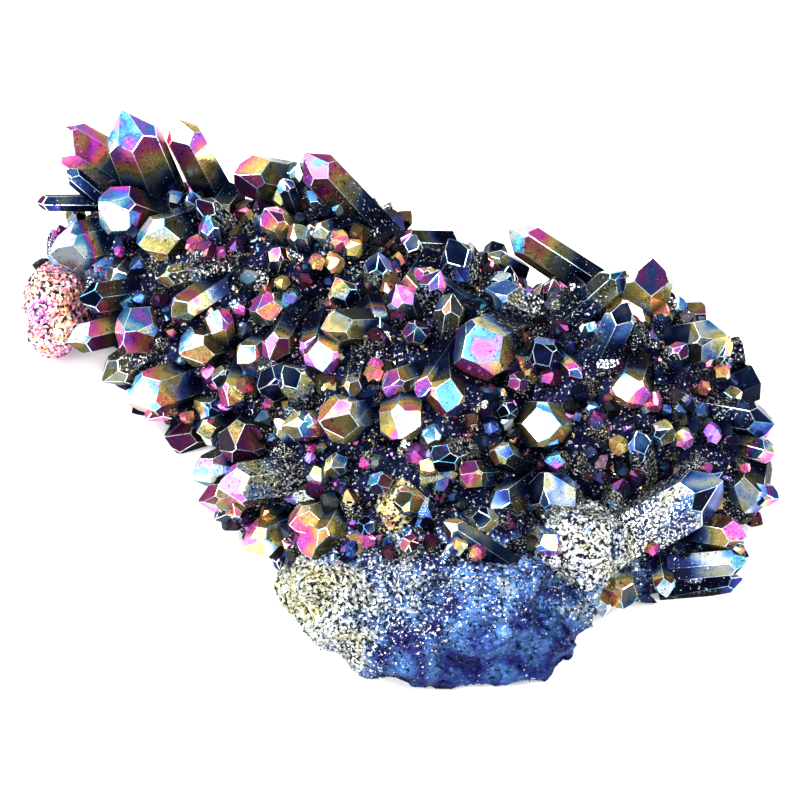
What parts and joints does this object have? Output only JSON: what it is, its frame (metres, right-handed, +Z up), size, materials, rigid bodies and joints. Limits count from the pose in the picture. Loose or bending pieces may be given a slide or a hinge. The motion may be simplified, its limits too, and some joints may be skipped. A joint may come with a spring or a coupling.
{
  "type": "coated quartz crystal cluster",
  "caption": "Cluster of rainbow-coated, six-sided quartz points grown together on a rough matrix, sawn flat underneath to stand on a shelf.",
  "frame": {"origin": "middle of the flat sawn base", "axes": "+X to the right across the show face, +Y towards the back, +Z up; the show face looks towards -Y and up"},
  "size_m": [0.112, 0.0933, 0.0294],
  "materials": {
    "titanium_film": "quartz under a thin metal film, mirror-smooth on the crystal faces and crinkled on the rock, shifting between navy, blue, violet, magenta, orange, gold and silver"
  },
  "bodies": {
    "root": {"quartz_cluster": "titanium_film"}
  },
  "joints": []
}
